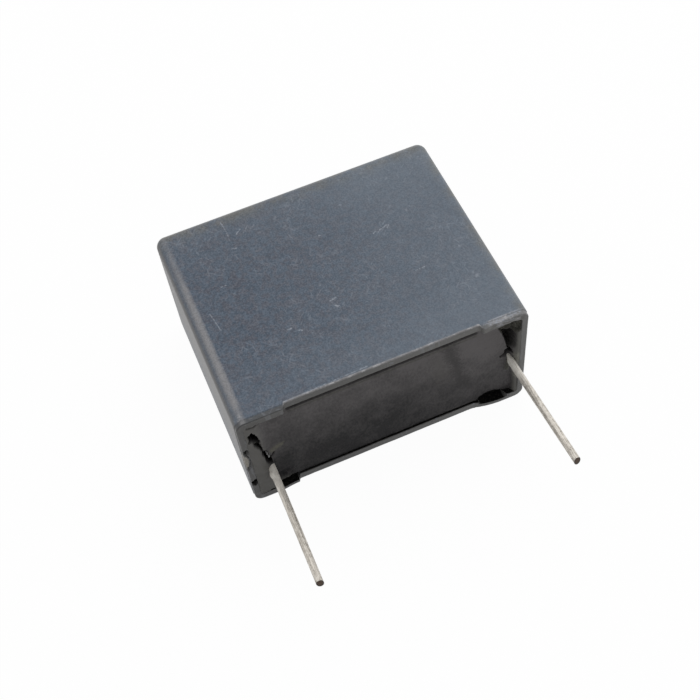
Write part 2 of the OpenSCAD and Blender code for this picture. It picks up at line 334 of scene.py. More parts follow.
count = len(ox)
verts = [tuple(v) for ring in rings for v in ring]
faces = ring_faces(len(rings), count)
faces.append(tuple(range((len(rings) - 1) * count, len(rings) * count)))
start = len(verts)
for z in up:
    for x in along:
        bow = (1 - (x / straight_x) ** 2) * (1 - (z / straight_z) ** 2)
        verts.append((x, closed_end - 0.05 * max(0.0, bow), z + mid_z))
wide = len(along)
faces += [(start + r * wide + c, start + r * wide + c + 1,
           start + (r + 1) * wide + c + 1, start + (r + 1) * wide + c)
          for r in range(len(up) - 1) for c in range(wide - 1)]
spare = [0.0] * (len(verts) - start)
case = close_mesh("moulded_case", verts, faces, {
    layer: list(np.concatenate(made)) + spare for layer, made in case_layers.items()})


def put(tree, kind, inputs=None, out=0, **settings):
    """Adds a shader node, sets it, feeds its inputs by name or place, and gives an output."""
    made = tree.nodes.new("ShaderNode" + kind)
    for key, value in settings.items():
        setattr(made, key, value)
    for key, value in (inputs or {}).items():
        if isinstance(value, bpy.types.NodeSocket):
            tree.links.new(value, made.inputs[key])
        else:
            made.inputs[key].default_value = value
    return made.outputs[out]


def maths(tree, operation, *values):
    return put(tree, "Math", dict(enumerate(values)), operation=operation)


def times(tree, *values):
    return maths(tree, "MULTIPLY", *values)


def plus(tree, *values):
    return maths(tree, "ADD", *values)


def vectors(tree, operation, one, other, out=0):
    """Sum, product or other measure of two vectors."""
    return put(tree, "VectorMath", {0: one, 1: other}, out=out, operation=operation)


def scaled(tree, place, factor):
    return put(tree, "VectorMath", {0: place, "Scale": factor}, operation="SCALE")


def in_units(tree, place, size):
    """Places measured in units of size."""
    return scaled(tree, place, maths(tree, "DIVIDE", 1.0, size))


def spread(tree, value, low, high, to_low=0.0, to_high=1.0):
    """Soft step of a value, from one range to another."""
    return put(tree, "MapRange", {0: value, 1: low, 2: high, 3: to_low, 4: to_high},
               interpolation_type="SMOOTHSTEP")


def tint(tree, share, colour, other):
    """Goes from one colour to another by a share."""
    def full(c):
        return (*c, 1) if isinstance(c, tuple) else c
    return put(tree, "Mix", {0: share, 6: full(colour), 7: full(other)}, out=2,
               data_type="RGBA")


def grainy(tree, place, scale, detail=2.0, roughness=0.5):
    """Noise over places."""
    return put(tree, "TexNoise", {"Vector": place, "Scale": scale, "Detail": detail,
                                  "Roughness": roughness})


def wash(tree, colour, share, strength, other):
    """Lays some of another colour over one."""
    return tint(tree, times(tree, share, strength), colour, other)


def specks(tree, place, size, detail=3.0, roughness=0.55):
    """Noise whose bumps are about as wide as size, in millimetres."""
    return grainy(tree, place, 1 / size, detail, roughness)


def layer_of(tree, name):
    """A layer painted on the piece's mesh."""
    return put(tree, "Attribute", out="Fac", attribute_name=name)


def effect(name, inputs, outputs):
    """Starts a shared effect, a node group with named inputs and outputs."""
    group = bpy.data.node_groups.new(name, "ShaderNodeTree")
    for label, kind, value in inputs:
        socket = group.interface.new_socket(name=label, in_out="INPUT",
                                            socket_type="NodeSocket" + kind)
        socket.default_value = value
    for label, kind in outputs:
        group.interface.new_socket(name=label, in_out="OUTPUT",
                                   socket_type="NodeSocket" + kind)
    ins = group.nodes.new("NodeGroupInput").outputs
    outs = group.nodes.new("NodeGroupOutput").inputs
    return group, ins, outs


def place_effect(tree, group, out=0, **inputs):
    """Puts a shared effect into a material, with its own values."""
    made = tree.nodes.new("ShaderNodeGroup")
    made.node_tree = group
    for key, value in inputs.items():
        socket = made.inputs[key.replace("_", " ")]
        if isinstance(value, bpy.types.NodeSocket):
            tree.links.new(value, socket)
        else:
            socket.default_value = value
    return made.outputs[out]


def finish_of(name, gloss):
    """Starts a material: its tree, its shader, and places on the piece in millimetres."""
    material = bpy.data.materials.new(name)
    material.use_nodes = True
    tree = material.node_tree
    shader = tree.nodes["Principled BSDF"]
    for key, value in gloss.items():
        shader.inputs[key].default_value = value
    where = put(tree, "TexCoord", out="Object")
    return material, tree, shader, scaled(tree, where, 1000.0)


def feed(tree, shader, colour, roughness, height=None, strength=0.2, reach=0.0001):
    tree.links.new(colour, shader.inputs["Base Color"])
    tree.links.new(roughness, shader.inputs["Roughness"])
    if height is not None:
        normal = put(tree, "Bump", {"Height": height, "Strength": strength,
                                    "Distance": reach})
        tree.links.new(normal, shader.inputs["Normal"])


# Mottle of a filled resin: fine specks of lighter and darker filler under the skin
filler_mottle, ins, outs = effect(
    "filler_mottle", [("Place", "Vector", (0, 0, 0)), ("Speck", "Float", 0.2)],
    [("Tone", "Float"), ("Hue", "Float"), ("Height", "Float")])
g = filler_mottle
fine = in_units(g, ins["Place"], ins["Speck"])
small = grainy(g, fine, 1.0, 2.5, 0.6)
broad = grainy(g, fine, 0.12, 3.0, 0.6)
tone = plus(g, times(g, small, 0.84), times(g, broad, 0.16))
g.links.new(spread(g, tone, 0.32, 0.68), outs["Tone"])
other = grainy(g, vectors(g, "ADD", fine, (37, 11, 5)), 0.8, 2.0, 0.6)
g.links.new(spread(g, other, 0.4, 0.62), outs["Hue"])
g.links.new(small, outs["Height"])

# Rubbed edge: a painted weight broken up by noise, as handling wears high spots first; it also
# breaks up the painted sheen and highlights carried in the same weight
rubbed_and_sheen_edge, ins, outs = effect(
    "rubbed_and_sheen_edge", [("Place", "Vector", (0, 0, 0)), ("Weight", "Float", 0.0),
                    ("Patch", "Float", 0.6)], [("Mask", "Float")])
g = rubbed_and_sheen_edge
fine = in_units(g, ins["Place"], ins["Patch"])
gaps = grainy(g, fine, 1.0, 4.0, 0.65)
raised = plus(g, times(g, gaps, 0.7), ins["Weight"])
shown = times(g, spread(g, raised, 0.45, 1.35), spread(g, ins["Weight"], 0.0, 0.25))
g.links.new(shown, outs["Mask"])

# One scuff: a soft line between two points, broken along its length
scuff_line, ins, outs = effect(
    "scuff_line", [("Place", "Vector", (0, 0, 0)), ("From", "Vector", (0, 0, 0)),
                   ("To", "Vector", (1, 0, 0)), ("Width", "Float", 0.1),
                   ("Broken", "Float", 0.0)], [("Mask", "Float")])
g = scuff_line
run = vectors(g, "SUBTRACT", ins["To"], ins["From"])
off = vectors(g, "SUBTRACT", ins["Place"], ins["From"])
share = maths(g, "DIVIDE", vectors(g, "DOT_PRODUCT", off, run, "Value"),
              vectors(g, "DOT_PRODUCT", run, run, "Value"))
foot = scaled(g, run, put(g, "Clamp", {0: share}))
wobble = maths(g, "SUBTRACT", grainy(g, ins["Place"], 4.0), 0.5)
gap = plus(g, vectors(g, "DISTANCE", off, foot, "Value"),
           times(g, wobble, times(g, ins["Width"], 1.6)))
gaps = spread(g, grainy(g, ins["Place"], 5.0), 0.36, 0.54,
              maths(g, "SUBTRACT", 1.0, ins["Broken"]))
g.links.new(times(g, spread(g, gap, ins["Width"], 0.0), gaps), outs["Mask"])


def stroke(tree, place, start, end, width, broken=0.0):
    """Mask of one scuff line."""
    return place_effect(tree, scuff_line, Place=place, From=start, To=end, Width=width,
                        Broken=broken)


# Hairlines: sparse short scratches in one direction
hairlines, ins, outs = effect(
    "hairlines", [("Place", "Vector", (0, 0, 0)), ("Turn", "Float", 0.0),
                  ("Length", "Float", 3.0), ("Width", "Float", 0.08)], [("Mask", "Float")])
g = hairlines
turned_place = put(g, "VectorRotate", {0: ins["Place"], "Angle": ins["Turn"]},
                   rotation_type="Z_AXIS")
squeeze = put(g, "CombineXYZ", {0: maths(g, "DIVIDE", 1.0, ins["Length"]),
                                1: maths(g, "DIVIDE", 1.0, ins["Width"]), 2: 0.5})
streak = grainy(g, vectors(g, "MULTIPLY", turned_place, squeeze), 0.55, 0.0)
crowd = grainy(g, ins["Place"], 0.35)
g.links.new(times(g, spread(g, streak, 0.69, 0.8), spread(g, crowd, 0.45, 0.62)), outs["Mask"])

# Flecks: tiny pale bruises, scattered, each with its own strength
pale_flecks, ins, outs = effect(
    "pale_flecks", [("Place", "Vector", (0, 0, 0)), ("Spacing", "Float", 0.6),
                    ("Share", "Float", 0.3)], [("Mask", "Float")])
g = pale_flecks
fine = in_units(g, ins["Place"], ins["Spacing"])
bent = grainy(g, fine, 2.5, 1.0).node.outputs["Color"]
fine = vectors(g, "ADD", fine, scaled(g, bent, 0.5))
reach_of = put(g, "TexVoronoi", {"Vector": fine, "Scale": 1.0}, out="Distance")
luck = put(g, "SeparateColor", {0: reach_of.node.outputs["Color"]}, out=0)
chosen = spread(g, luck, maths(g, "SUBTRACT", 1.0, ins["Share"]), 1.0)
g.links.new(times(g, spread(g, reach_of, 0.2, 0.05), chosen), outs["Mask"])

# Settled dust: lies in soft patches where its painted weight is high
settled_dust, ins, outs = effect(
    "settled_dust", [("Place", "Vector", (0, 0, 0)), ("Weight", "Float", 0.5)],
    [("Mask", "Float")])
g = settled_dust
patches = spread(g, grainy(g, ins["Place"], 0.55, 5.0, 0.62), 0.32, 0.66)
g.links.new(times(g, patches, ins["Weight"]), outs["Mask"])

skin_z, top_z = 15.86, 15.9
moulded, tree, shader, place = finish_of("moulded_plastic",
                                         {"IOR": 1.48, "Specular IOR Level": 0.42})
at_x, at_y, at_z = (put(tree, "SeparateXYZ", {0: place}, out=i) for i in range(3))
tone = place_effect(tree, filler_mottle, "Tone", Place=place, Speck=0.17)
hue = place_effect(tree, filler_mottle, "Hue", Place=place, Speck=0.5)
colour = tint(tree, hue, tint(tree, tone, (0.038, 0.054, 0.079), (0.104, 0.134, 0.177)),
              tint(tree, tone, (0.046, 0.050, 0.069), (0.119, 0.131, 0.160)))
# Random drift, plus a painted sheen that lightens the wall toward the right end; the wall is
# also lighter away from the middle and toward the left edge.
drift = specks(tree, place, 9.0, 2.0)
drift_and_sheen = plus(tree, spread(tree, drift, 0.3, 0.7, 0.0, 0.12),
                  spread(tree, at_x, -10.0, half_len, 0.0, 0.6))
off_middle = spread(tree, maths(tree, "ABSOLUTE", at_y), 3.0, 12.0, 0.0, 0.2)
drift_and_sheen = plus(tree, drift_and_sheen, off_middle)
drift_and_sheen = plus(tree, drift_and_sheen, spread(tree, at_x, left_wall_x, -15.3, 0.0, 0.3))
colour = tint(tree, drift_and_sheen, colour,
              tint(tree, tone, (0.120, 0.148, 0.183), (0.160, 0.188, 0.223)))
# Painted reflection: the left side wall is lightened and warmed, more toward its upper part,
# as it mirrors the bright sheet at a grazing angle.
side_reflection = times(tree, spread(tree, at_x, -15.3, -15.7),
                  spread(tree, at_z, 4.0, 9.5, 0.35, 0.75))
colour = tint(tree, side_reflection, colour,
              tint(tree, tone, (0.135, 0.124, 0.117), (0.190, 0.178, 0.168)))
far_side = maths(tree, "MAXIMUM", spread(tree, at_y, closed_end - 2.8, closed_end - 0.3),
                 spread(tree, at_x, half_len - 1.7, half_len - 0.1))
dust = place_effect(tree, settled_dust, Place=place, Weight=far_side)
colour = wash(tree, colour, dust, 0.8,
              tint(tree, tone, (0.110, 0.105, 0.090), (0.185, 0.178, 0.155)))
# The rim faces turn neutral grey, darker toward the bottom and the left end, lighter toward
# the top and the right.
dulled = layer_of(tree, "dulled")
lightening = plus(tree, spread(tree, at_z, 0.0, top_z, -0.02, 0.33),
              spread(tree, at_x, -half_len, half_len, -0.10, 0.36))
lightening = plus(tree, lightening, times(tree, tone, 0.14))
greyed = tint(tree, lightening, (0.026, 0.025, 0.025), (0.158, 0.157, 0.150))
colour = tint(tree, dulled, colour, greyed)
# Pale rubbed edges, with the painted sheen on the side fillets and the painted highlights on
# the crease and lip, laid in one weight.
rubbed_and_sheen = layer_of(tree, "rubbed_and_sheen")
worn = place_effect(tree, rubbed_and_sheen_edge, Place=place, Weight=rubbed_and_sheen, Patch=0.25)
colour = wash(tree, colour, worn, 0.85,
              tint(tree, tone, (0.225, 0.222, 0.228), (0.305, 0.300, 0.306)))
chipping = specks(tree, place, 0.7, 4.0, 0.7)
chipped = times(tree, spread(tree, worn, 0.5, 0.9), spread(tree, chipping, 0.48, 0.64))
chipped = times(tree, chipped, spread(tree, at_y, seat + skirt, seat + 0.9))
colour = wash(tree, colour, chipped, 0.8, (0.46, 0.46, 0.475))
face_marks = [
    (-8.52, 11.58, -8.35, 10.1, 0.07), (-8.35, 10.1, -8.42, 8.7, 0.05),
    (-7.52, 9.27, -6.9, 9.72, 0.07), (-6.65, 9.15, -6.08, 9.78, 0.06),
    (-5.83, 9.3, -5.4, 9.6, 0.05), (-8.69, 7.61, -8.16, 7.5, 0.11),
    (-11.31, 3.38, -10.75, 3.4, 0.06), (-1.74, -3.06, -1.13, -2.93, 0.12),
    (-1.65, -3.65, -1.2, -4.15, 0.12), (5.65, 2.97, 6.0, 3.2, 0.08),
    (6.15, 2.9, 6.45, 3.15, 0.08), (6.6, 3.15, 7.3, 3.4, 0.06), (7.2, 3.0, 7.5, 3.3, 0.06),
    (7.61, -3.37, 8.66, -3.31, 0.05), (0.35, 5.24, 0.5, 5.2, 0.12),
    (-13.47, 0.66, -13.11, -1.69, 0.05), (-6.92, -4.52, -6.6, -4.5, 0.09),
    (-6.0, -5.0, -5.7, -5.2, 0.09)
]
rim_marks = [
    ((12.3, -12.46, skin_z), (12.6, -12.78, 15.78), 0.3),
    ((11.5, -12.62, 15.8), (12.9, -12.72, 15.8), 0.14),
    ((12.2, -12.8, 15.35), (12.7, -12.8, 15.2), 0.2),
    ((13.0, -12.8, 15.55), (14.2, -12.8, 15.45), 0.12),
    ((13.6, -12.5, 15.84), (14.9, -12.45, 15.84), 0.12),
    ((10.7, -12.35, skin_z), (11.9, -12.45, skin_z), 0.12),
    ((11.6, -12.25, 15.88), (15.2, -12.3, 15.88), 0.1),
    ((-1.5, -11.9, 15.88), (-10.4, -12.2, 15.88), 0.06)
]
marks = None
for start, end, width in [((ax, ay, skin_z), (bx, by, skin_z), width)
                          for ax, ay, bx, by, width in face_marks] + rim_marks:
    mask = stroke(tree, place, start, end, width + 0.05, 1.0)
    marks = mask if marks is None else maths(tree, "MAXIMUM", marks, mask)
for turn in (0.9, 2.3, 1.5, 0.3):
    fine_line = place_effect(tree, hairlines, Place=place, Turn=turn, Length=0.5, Width=0.11)
    marks = maths(tree, "MAXIMUM", marks, times(tree, fine_line, 0.26))
crowd = specks(tree, place, 4.5, 3.0, 0.6)
for spacing, share, weight in ((0.6, 0.35, 0.6), (1.5, 0.3, 0.95)):
    flecks = place_effect(tree, pale_flecks, Place=place, Spacing=spacing, Share=share)
    flecks = times(tree, flecks, spread(tree, crowd, 0.42, 0.66, 0.15, weight))
    marks = maths(tree, "MAXIMUM", marks, flecks)
colour = wash(tree, colour, marks, 0.8, (0.31, 0.335, 0.38))
spot = stroke(tree, place, (-10.0, 2.6, skin_z), (-9.85, 2.55, skin_z), 0.35)
colour = wash(tree, colour, spot, 0.35, (0.03, 0.035, 0.05))
bare = layer_of(tree, "bare")
broken = tint(tree, specks(tree, place, 0.25), (0.15, 0.14, 0.12), (0.42, 0.39, 0.34))
colour = tint(tree, bare, colour, broken)
# Painted shade: the inner walls, breaks and bitten hollows are painted near black.
hollow = layer_of(tree, "hollow")
colour = tint(tree, hollow, colour, (0.003, 0.003, 0.003))
grain = place_effect(tree, filler_mottle, "Height", Place=place, Speck=0.16)
height = maths(tree, "SUBTRACT", grain, times(tree, marks, 0.6))
sheen = spread(tree, tone, 0.0, 1.0, 0.36, 0.46)
sheen = plus(tree, sheen, times(tree, worn, 0.12))
sheen = maths(tree, "MAXIMUM", sheen, hollow)
feed(tree, shader, colour, sheen, height, strength=0.18, reach=0.00005)
case.data.materials.append(moulded)

# Hollow shade: painted shade for the inside of a hole and the deepest hollows, crumbly and
# near black, giving back almost no light
painted_hollow_shade, tree, shader, place = finish_of("painted_hollow_shade", {"Specular IOR Level": 0.0})
crumb = specks(tree, place, 0.25, 4.0, 0.7)
colour = tint(tree, spread(tree, crumb, 0.45, 0.75), (0.004, 0.004, 0.004),
              (0.034, 0.032, 0.029))
feed(tree, shader, colour, spread(tree, crumb, 0.3, 0.7, 0.85, 1.0), crumb, strength=0.4)
case.data.materials.append(painted_hollow_shade)
# Faces deep in the case's hollows take this painted shade.
hollow_at = np.zeros(len(case.data.vertices))
case.data.attributes["hollow"].data.foreach_get("value", hollow_at)
for face in case.data.polygons:
    face.material_index = int(hollow_at[list(face.vertices)].mean() > 0.7)
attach(case, "root")
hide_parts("case")


# --- Potting ----------------------------------------------------------------
# Dark epoxy is poured into the open case round the element and cures to a dull skin.
# It draws back from the walls in places, and trapped air leaves ragged pockets beside
# both leads, so the lead side shows pits, cracks and low seams.
fill_depth = room_low.y - seat
pocket_depth, crack_depth = 1.9, 0.8
upper_right_pocket = [(12.35, 14.95), (12.62, 13.6), (13.1, 12.3), (13.5, 10.95),
                      (13.85, 9.2), (14.35, 8.95), (14.62, 9.9), (14.68, 12.5), (15.1, 12.9),
                      (15.1, 14.95)]
dark_throat = [(13.2, 12.35), (13.9, 12.15), (14.66, 12.0), (14.62, 9.9), (14.35, 8.95),
               (13.85, 9.2), (13.5, 10.9)]
right_hole = [(13.0, 8.3), (13.6, 8.65), (13.55, 9.1), (13.85, 9.35), (14.4, 8.9),
              (14.45, 8.2), (14.3, 7.7), (13.9, 7.8), (13.1, 7.95)]
left_pocket = [(-14.9, 11.75), (-14.7, 12.5), (-14.8, 13.15), (-14.3, 13.6), (-14.0, 13.05),
               (-13.8, 12.2), (-13.6, 11.2), (-13.75, 10.9), (-14.05, 11.2), (-14.5, 11.7)]
pocket_tail = [(-14.5, 11.7), (-13.7, 11.0), (-13.58, 10.0), (-13.5, 9.1), (-13.8, 9.0),
               (-13.98, 10.0), (-14.35, 10.7)]
left_hole = [(-13.84, 9.1), (-13.48, 9.05), (-13.15, 8.35), (-13.1, 7.7), (-12.95, 7.1),
             (-12.85, 6.2), (-12.87, 5.6), (-13.1, 5.6), (-13.45, 6.3), (-13.6, 6.9),
             (-13.65, 7.8), (-13.86, 8.5)]
left_slit = [(-12.97, 6.85), (-12.82, 6.75), (-12.39, 7.3), (-12.49, 7.4)]
right_pit = [(10.4, 0.5), (10.4, 1.15), (10.7, 1.6), (11.2, 1.9), (11.8, 2.0), (12.4, 1.9),
             (13.0, 1.62), (13.5, 1.3), (13.85, 1.0), (13.8, 0.5)]
left_pit = [(-12.9, 0.5), (-12.8, 1.55), (-12.2, 1.8), (-11.2, 1.75), (-10.6, 1.45),
            (-10.35, 0.5)]
left_spot = [(-13.88, 0.95), (-13.86, 1.2), (-13.5, 1.3), (-13.45, 0.95)]
foot_seam = [(-14.6, 14.62), (-14.2, 14.48), (-13.4, 14.33), (-12.6, 14.38), (-11.9, 14.5)]
beads = [(-13.26, 7.85, 0.1), (-13.15, 7.2, 0.12)]
exits = [(-13.15, 5.1), (14.15, 7.2)]
face_y = seat + 0.72


def resin_depth(x, z):
    """Depth of the resin skin below the tips of the feet, and how hollow each place is."""
    jx = x + 0.07 * rough(x, z, 0.3, 1.5) + 0.03 * rough(x, z, 0.12, 2.5)
    jz = z + 0.07 * rough(x, z, 0.3, 6.5) + 0.03 * rough(x, z, 0.12, 7.5)
    depth = fill_depth + 0.02 * rough(x, z, 3.5, 4.2) + 0.012 * rough(x, z, 0.9, 9.2)
    to_high, to_low = room_high.z - z, z - room_low.z
    to_left, to_right = x - room_low.x, room_high.x - x
    flush = smooth(2.4 - to_left, 0, 1.6)
    flush = np.maximum(flush, smooth(-12.6 - x, 0, 0.9) * smooth(5.6 - z, 0, 1.8))
    flush = np.maximum(flush, smooth(0.8 - to_right, 0, 0.55))
    flush = np.maximum(flush, 0.6 * smooth(-10.2 - x, 0, 1.6) * smooth(3.2 - z, 0, 1.8))
    depth = depth - 0.66 * flush * (1 + 0.05 * rough(x, z, 0.8, 2.2))
    foot_fill = smooth(1.1 - to_high, 0, 0.8) * smooth(-10.9 - x, 0, 0.6)
    depth = np.minimum(depth, fill_depth - 0.5 * foot_fill)
    between = smooth(foot_start - np.abs(x), -0.1, 0.35)
    uneven = 0.75 + 0.5 * rough(x, z, 2.5, 6.1)
    crack = smooth(0.72 - to_high, 0, 0.12) * between * np.clip(uneven + 0.2, 0, 1)
    shrunk = bell(to_low, 0, 0.1) * between * (0.3 + 0.4 * smooth(x, -4, 8)) * uneven
    corner = 0.35 * bell(to_right, 0.05, 0.1) * smooth(4.6 - z, 0, 1.2) * smooth(z, 1.4, 2.2)
    depth = depth + 0.3 * crack + 0.4 * shrunk + 0.15 * corner
    seam = bell(near_line(jx, jz, foot_seam), 0, 0.1)
    # How hollow a place is sets how dark its painted shade is.
    hollow = np.clip(np.maximum(np.maximum(seam, 0.85 * crack), shrunk + corner), 0, 1)
    depth = depth + 0.25 * seam
    mound = bell(np.hypot((x - 13.74) / 0.24, (z - 6.5) / 0.95), 0, 1)
    depth = depth - 0.75 * mound + 0.5 * bell(np.hypot(x - 14.15, z - 7.6), 0, 0.4)
    ragged = 1 + 0.25 * rough(x, z, 0.35, 3.3) + 0.12 * rough(x, z, 0.15, 8.8)
    for outline, deep, slope, dark in (
            (upper_right_pocket, 0.55, 0.3, 0.35), (dark_throat, pocket_depth - 0.9, 0.3, 0.9),
            (right_hole, crack_depth * 1.6, 0.16, 1.0), (left_pocket, pocket_depth, 0.3, 1.0),
            (pocket_tail, 0.45, 0.25, 0.75), (left_hole, pocket_depth, 0.25, 1.0),
            (left_slit, crack_depth, 0.14, 0.9), (right_pit, pocket_depth, 0.3, 1.0),
            (left_pit, pocket_depth * 0.8, 0.25, 1.0), (left_spot, 0.5, 0.15, 0.9)):
        share = smooth(depth_inside(jx, jz, outline), -0.02, slope)
        depth = depth + deep * share * ragged
        hollow = np.maximum(hollow, dark * smooth(depth_inside(jx, jz, outline), -0.04, 0.12))
    ledge = smooth(depth_inside(jx, jz, upper_right_pocket), 0, 0.1)
    ledge = ledge * smooth(-depth_inside(jx, jz, dark_throat), -0.05, 0.2)
    ledge = np.maximum(ledge, 0.75 * bell(to_high, 0.95, 0.17) * between)
    ledge = np.maximum(ledge, 0.8 * smooth(mound, 0.15, 0.6))
    bead = np.zeros(np.shape(x))
    for bead_x, bead_z, r in beads:
        bead = np.maximum(bead, smooth(r + 0.06 - np.hypot(x - bead_x, z - bead_z), 0, 0.1))
    depth = depth * (1 - bead) + 0.45 * bead
    throat = smooth(depth_inside(jx, jz, dark_throat), -0.05, 0.1)
    for lead_x, lead_z in exits:
        gap = np.hypot(x - lead_x, z - lead_z)
        depth = depth - 0.1 * bell(gap, 0.4, 0.22) * (1 - 0.8 * hollow)
    return np.clip(depth, 0.05, 2.75), hollow, ledge, bead, throat


room_x = stations((room_low.x, room_low.x + 4.8, 0.06), (room_low.x + 4.8, 9.9, 0.3),
                  (9.9, room_high.x, 0.06))
room_z = stations((room_low.z, room_high.z, 0.065))
gx, gz = np.meshgrid(np.array(room_x), np.array(room_z))
skin, *painted = resin_depth(gx, gz)
cx = np.clip(gx, room_low.x + inner_r, room_high.x - inner_r)
cz = np.clip(gz, room_low.z + inner_r, room_high.z - inner_r)
off = np.hypot(gx - cx, gz - cz)
pull = np.where(off > inner_r, inner_r / np.maximum(off, 1e-9), 1)
sx, sz = cx + (gx - cx) * pull, cz + (gz - cz) * pull
rows, wide = gx.shape

resin = bmesh.new()
resin.from_mesh(frame["nodes"]["potting"].data)
bmesh.ops.remove_doubles(resin, verts=resin.verts, dist=1e-6)
cut_y = (seat + 3.0) * 0.001
bmesh.ops.bisect_plane(resin, geom=resin.verts[:] + resin.edges[:] + resin.faces[:],
                       dist=1e-7, plane_co=(0, cut_y, 0), plane_no=(0, -1, 0),
                       clear_outer=True)
layer_names = ("hollow", "ledge", "bead", "throat")
layers = [resin.verts.layers.float.new(name) for name in layer_names]
loops, left_over = [], {e for e in resin.edges if e.is_boundary}
while left_over:
    chain, queue = set(), [left_over.pop()]
    while queue:
        edge = queue.pop()
        chain.add(edge)
        for vert in edge.verts:
            for other_edge in vert.link_edges:
                if other_edge in left_over:
                    left_over.discard(other_edge)
                    queue.append(other_edge)
    loops.append(chain)
loops.sort(key=lambda chain: sum(e.calc_length() for e in chain))
for chain in loops[:-1]:
    bmesh.ops.edgenet_fill(resin, edges=list(chain))
# Faces deep in holes take the painted shade finish with no gloss.
in_hole = painted[0] * (1 - painted[2]) * (1 - painted[3]) > 0.72
top = [[resin.verts.new((sx[r, c] / 1000, (seat + skin[r, c]) / 1000, sz[r, c] / 1000))
        for c in range(wide)] for r in range(rows)]
for r in range(rows):
    for c in range(wide):
        for layer, values in zip(layers, painted):
            top[r][c][layer] = values[r, c]
for r in range(rows - 1):
    for c in range(wide - 1):
        face = resin.faces.new((top[r][c], top[r][c + 1], top[r + 1][c + 1], top[r + 1][c]))
        face.material_index = int(in_hole[r, c])
top_set = {v for line in top for v in line}
brim = [e for e in resin.edges if e.is_boundary and e.verts[0] in top_set]
bmesh.ops.bridge_loops(resin, edges=brim + list(loops[-1]))
smooth_over(resin, 50)
resin_mesh = bpy.data.meshes.new("cast_resin")
resin.to_mesh(resin_mesh)
resin.free()
cast = add_object("cast_resin", resin_mesh)

epoxy, tree, shader, place = finish_of("cast_epoxy", {"IOR": 1.45, "Specular IOR Level": 0.08})
at_x, at_y, at_z = (put(tree, "SeparateXYZ", {0: place}, out=i) for i in range(3))
upright = vectors(tree, "MULTIPLY", place, (1.0, 1.0, 0.55))
tone = place_effect(tree, filler_mottle, "Tone", Place=upright, Speck=0.24)
drift = specks(tree, place, 3.0, 3.0)
# Painted shade: the resin face darkens toward the bottom, where it mirrors the shaded sheet in
# front, and it is lighter toward the right.
lightening = plus(tree, spread(tree, at_z, 2.0, 15.2, 0.02, 0.84),
              spread(tree, at_x, -1.0, 12.0, 0.0, 0.36))
lightening = plus(tree, lightening, spread(tree, drift, 0.3, 0.7, -0.13, 0.13))
lightening = plus(tree, lightening, spread(tree, tone, 0.0, 1.0, -0.15, 0.15))
colour = tint(tree, lightening, (0.005, 0.0045, 0.0055), (0.146, 0.138, 0.139))
# Painted shade: a darker upright band along a faint dent in the resin.
dent_shade = stroke(tree, place, (7.16, face_y, 13.6), (8.7, face_y, 5.9), 1.3)
colour = wash(tree, colour, dent_shade, 0.6, (0.020, 0.019, 0.019))
glow = stroke(tree, place, (5.6, face_y, 12.5), (6.6, face_y, 8.6), 1.6)
colour = wash(tree, colour, glow, 0.35, (0.10, 0.095, 0.088))
streak = stroke(tree, place, (-12.6, face_y, 7.85), (-11.6, face_y, 8.4), 0.6)
colour = tint(tree, streak, colour, (0.135, 0.13, 0.108))
# Resin risen to the rim is lighter; its left end is lighter still, painted light standing in
# for light from the left.
level = spread(tree, at_y, seat + 0.6, seat + 0.12)
risen = tint(tree, spread(tree, at_x, -14.0, 14.0), (0.172, 0.169, 0.160),
             (0.150, 0.148, 0.136))
colour = wash(tree, colour, level, 0.8, risen)
# Painted highlight: a pale band on the resin bank along the right wall.
bank_highlight = stroke(tree, place, (14.8, seat + 0.1, 8.2), (14.8, seat + 0.1, 4.4), 0.75)
colour = wash(tree, colour, bank_highlight, 0.9, (0.235, 0.23, 0.205))
hollow, ledge, bead, throat = (layer_of(tree, name) for name in layer_names)
# Painted shade: grooves, pockets and holes are painted near black over their crumbly grit, the
# throat a little lighter.
crumbs = specks(tree, place, 0.3, 4.0, 0.7)
inside = tint(tree, spread(tree, crumbs, 0.45, 0.75), (0.002, 0.002, 0.002),
              (0.028, 0.027, 0.024))
soft_crumbs = spread(tree, crumbs, 0.35, 0.7)
loose = tint(tree, soft_crumbs, (0.014, 0.014, 0.014), (0.066, 0.063, 0.058))
colour = tint(tree, hollow, colour, tint(tree, throat, inside, loose))
olive = tint(tree, soft_crumbs, (0.032, 0.033, 0.026), (0.125, 0.122, 0.10))
colour = wash(tree, colour, ledge, 0.85, olive)
colour = tint(tree, bead, colour, (0.55, 0.55, 0.55))
grain = place_effect(tree, filler_mottle, "Height", Place=upright, Speck=0.25)
height = plus(tree, grain, times(tree, crumbs, times(tree, hollow, 3.0)))
dullness = maths(tree, "MAXIMUM", spread(tree, tone, 0.0, 1.0, 0.42, 0.55), hollow)
feed(tree, shader, colour, dullness, height, strength=0.3, reach=0.00008)
cast.data.materials.append(epoxy)
cast.data.materials.append(painted_hollow_shade)
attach(cast, "root")
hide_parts("potting")


# --- Leads ------------------------------------------------------------------
# Each lead is round copper-clad wire, drawn through a die and tinned. Its inner end is
# pressed flat and soldered to the zinc; its outer end is cropped at a slant, which
# leaves a grey cut face with a warmer core.
wire_r, buried_r, flat_thick, flat_width = 0.4, 0.39, 0.45, 1.2
flat_depth, flat_len, squareness = 5.6, 8.5, 5.0
crop_len, crop_slant = 0.3, math.radians(24)
mounts = {m["name"]: m for m in frame["record"]["mounts"]}


